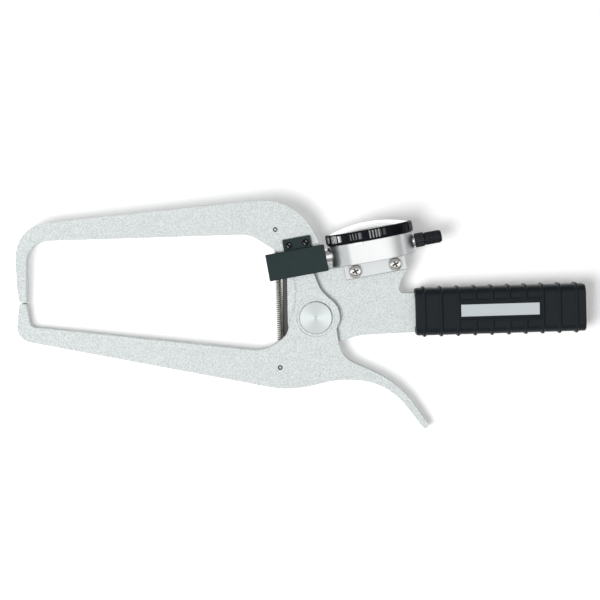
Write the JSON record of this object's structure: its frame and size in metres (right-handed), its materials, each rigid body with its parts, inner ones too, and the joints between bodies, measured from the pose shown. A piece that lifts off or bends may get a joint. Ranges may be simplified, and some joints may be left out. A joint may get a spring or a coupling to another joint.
{
  "type": "dial caliper gauge",
  "caption": "Outside caliper gauge with long pivoting jaws, a finger trigger, a ribbed handle and a compact dial gauge that reads the jaw opening.",
  "frame": {"origin": "on the pivot axis, at the frame's flat rear face, which the closed pivot nut meets flush", "axes": "+X along the handle away from the jaws, +Z out of the front face towards the user, +Y towards the upper jaw"},
  "size_m": [0.2731, 0.1092, 0.0422],
  "materials": {
    "hammer_paint": "silver grey hammer paint on cast aluminium",
    "steel": "polished steel",
    "chrome": "bright turned and plated",
    "satin_metal": "satin turned or brushed",
    "bronze": "plain bearing bronze",
    "brass": "lapped brass",
    "spring_wire": "oil tempered wire",
    "slate_cover": "dark slate paint, half matt",
    "gloss_black": "glossy black",
    "rubber": "moulded rubber, half matt",
    "crystal": "clear domed window",
    "dial_white": "matt white print ground"
  },
  "bodies": {
    "frame": {"fixed_frame": "hammer_paint", "pivot_bolt": "satin_metal", "pivot_nut": "satin_metal", "upper_spring_pin": "steel", "tension_spring": "spring_wire", "cover_block": "slate_cover", "cover_screw_left": "gloss_black", "cover_screw_right": "gloss_black", "gauge_case": "chrome", "gauge_stem": "steel", "gauge_back": "satin_metal", "back_screw_1": "steel", "back_screw_2": "steel", "back_screw_3": "steel", "back_screw_4": "steel", "lug_washer_left": "chrome", "lug_washer_right": "chrome", "lug_screw_left": "chrome", "lug_screw_right": "chrome", "cap_bush": "chrome", "spindle_cap": "gloss_black", "spring_post": "steel", "return_spring": "spring_wire", "movement_plate": "brass", "movement_bridge": "brass", "movement_pillar_lower": "brass", "movement_pillar_upper": "brass", "bridge_screw_lower": "steel", "bridge_screw_upper": "steel", "bezel_clip": "chrome", "dial_centre": "dial_white", "grip_sleeve": "rubber", "name_plate": "satin_metal"},
    "lever": {"lever": "hammer_paint", "lever_pad": "steel", "pivot_bush": "bronze", "lower_spring_pin": "steel"},
    "spindle": {"spindle": "steel", "contact_point": "steel", "guide_pin": "steel"},
    "counter": {"counter_arbor": "brass", "counter_hand": "gloss_black"},
    "pointer": {"centre_arbor": "steel", "pointer": "gloss_black"},
    "takeup": {"takeup_wheel": "brass", "hairspring": "spring_wire"},
    "bezel": {"bezel": "gloss_black", "crystal": "crystal", "dial_ring": "dial_white"}
  },
  "joints": [
    {"name": "lever_hinge", "type": "hinge", "parent": "frame", "child": "lever", "pos_m": [0, 0, 0.0052], "axis": [0, 0, 1], "range_deg": [0, 20.5], "stiffness_Nm_per_rad": 0.15, "springref_deg": -30.37, "deforming": ["tension_spring"]},
    {"name": "spindle_slide", "type": "slide", "parent": "frame", "child": "spindle", "axis": [-0.9833, -0.1822, 0], "range_m": [0, 0.0099], "deforming": ["return_spring"]},
    {"name": "counter_spin", "type": "hinge", "parent": "frame", "child": "counter", "pos_m": [0.03488, 0.03453, 0.01102], "axis": [-0.1822, 0.9833, 0], "range_deg": [0, 362]},
    {"name": "pointer_spin", "type": "hinge", "parent": "frame", "child": "pointer", "pos_m": [0.02683, 0.03304, 0.0078], "axis": [0.1822, -0.9833, 0], "range_deg": [0, 3610]},
    {"name": "takeup_spin", "type": "hinge", "parent": "frame", "child": "takeup", "pos_m": [0.01877, 0.03155, 0.00458], "axis": [-0.1822, 0.9833, 0], "range_deg": [0, 362]},
    {"name": "bezel_turn", "type": "hinge", "parent": "frame", "child": "bezel", "pos_m": [0.02683, 0.03304, 0.0078], "axis": [-0.1822, 0.9833, 0], "continuous": true}
  ],
  "couplings": [
    {"joint": "spindle_slide", "follows": "lever_hinge", "m_per_rad": 0.0276},
    {"joint": "counter_spin", "follows": "lever_hinge", "ratio": 17.593},
    {"joint": "takeup_spin", "follows": "lever_hinge", "ratio": 17.593},
    {"joint": "pointer_spin", "follows": "lever_hinge", "ratio": 175.93}
  ]
}
